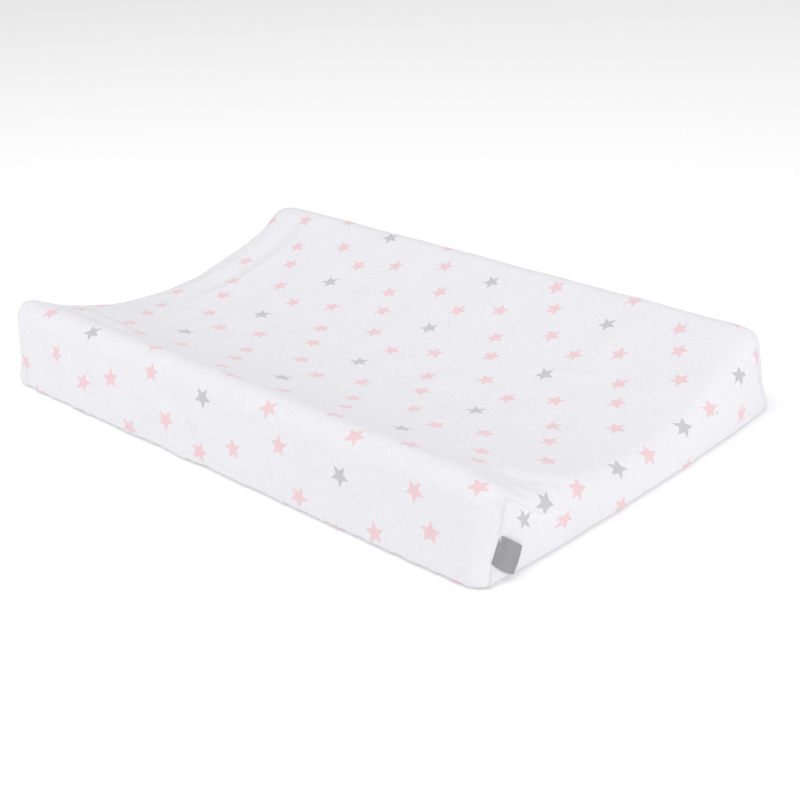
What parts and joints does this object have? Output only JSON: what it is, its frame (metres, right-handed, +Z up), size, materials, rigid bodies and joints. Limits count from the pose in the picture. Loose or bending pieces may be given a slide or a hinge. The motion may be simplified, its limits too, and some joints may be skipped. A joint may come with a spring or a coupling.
{
  "type": "changing pad",
  "caption": "Rectangular changing pad with a concave top between two side ridges: foam core in a zipped liner under a fitted cotton cover with an elastic hem.",
  "frame": {"origin": "middle of the underside, on the surface that the pad lies on", "axes": "+X along the pad, +Y across it from the zip side, +Z up from the underside to the lying surface"},
  "size_m": [0.7051, 0.4476, 0.091],
  "materials": {
    "cover_cotton": "white cotton flannel with a soft nap, printed with small pale pink and grey stars",
    "label_grey": "mid grey woven tape, blank",
    "seam_thread": "white overlocked seam allowance",
    "elastic": "white knitted elastic",
    "liner": "white coated wipe-clean fabric, slightly glossy",
    "liner_base": "light grey non-slip fabric with small dots",
    "piping": "light grey coated piping",
    "zip_tape": "white woven zip tape",
    "zip_nylon": "white nylon",
    "zip_metal": "nickel-plated, satin",
    "label_white": "white satin tape, blank",
    "foam": "cream open-cell polyurethane foam"
  },
  "bodies": {
    "pad": {"foam_core": "foam", "liner_top_panel": "liner", "liner_front_strip": "liner", "liner_end_panel_left": "liner", "liner_end_panel_right": "liner", "liner_base_panel": "liner_base", "end_piping_left": "piping", "end_piping_right": "piping", "zip_tape_upper": "zip_tape", "zip_tape_lower": "zip_tape", "zip_teeth_upper": "zip_nylon", "zip_teeth_lower": "zip_nylon", "zip_top_stop_upper": "zip_nylon", "zip_top_stop_lower": "zip_nylon", "zip_bottom_stop": "zip_nylon", "care_label": "label_white"},
    "zip_slider": {"zip_slider": "zip_metal"},
    "zip_pull": {"zip_pull": "zip_metal"},
    "cover": {"cover_panel": "cover_cotton", "hem_casing": "cover_cotton", "hem_elastic": "elastic", "corner_seam_front_left": "seam_thread", "corner_seam_front_right": "seam_thread", "corner_seam_back_left": "seam_thread", "corner_seam_back_right": "seam_thread", "side_label": "label_grey"}
  },
  "joints": [
    {"name": "cover_lift", "type": "slide", "parent": "pad", "child": "cover", "axis": [0, 0, 1], "range_m": [0, 0.2], "deforming": ["hem_casing", "hem_elastic"]},
    {"name": "zip_slide", "type": "slide", "parent": "pad", "child": "zip_slider", "axis": [-1, 0, 0], "range_m": [0, 0.56], "deforming": ["zip_teeth_upper", "zip_teeth_lower"]},
    {"name": "zip_pull_swing", "type": "hinge", "parent": "zip_slider", "child": "zip_pull", "pos_m": [0.286, -0.2142, 0.032], "axis": [0, -0.9844, 0.1759], "range_deg": [-70, 70]}
  ]
}
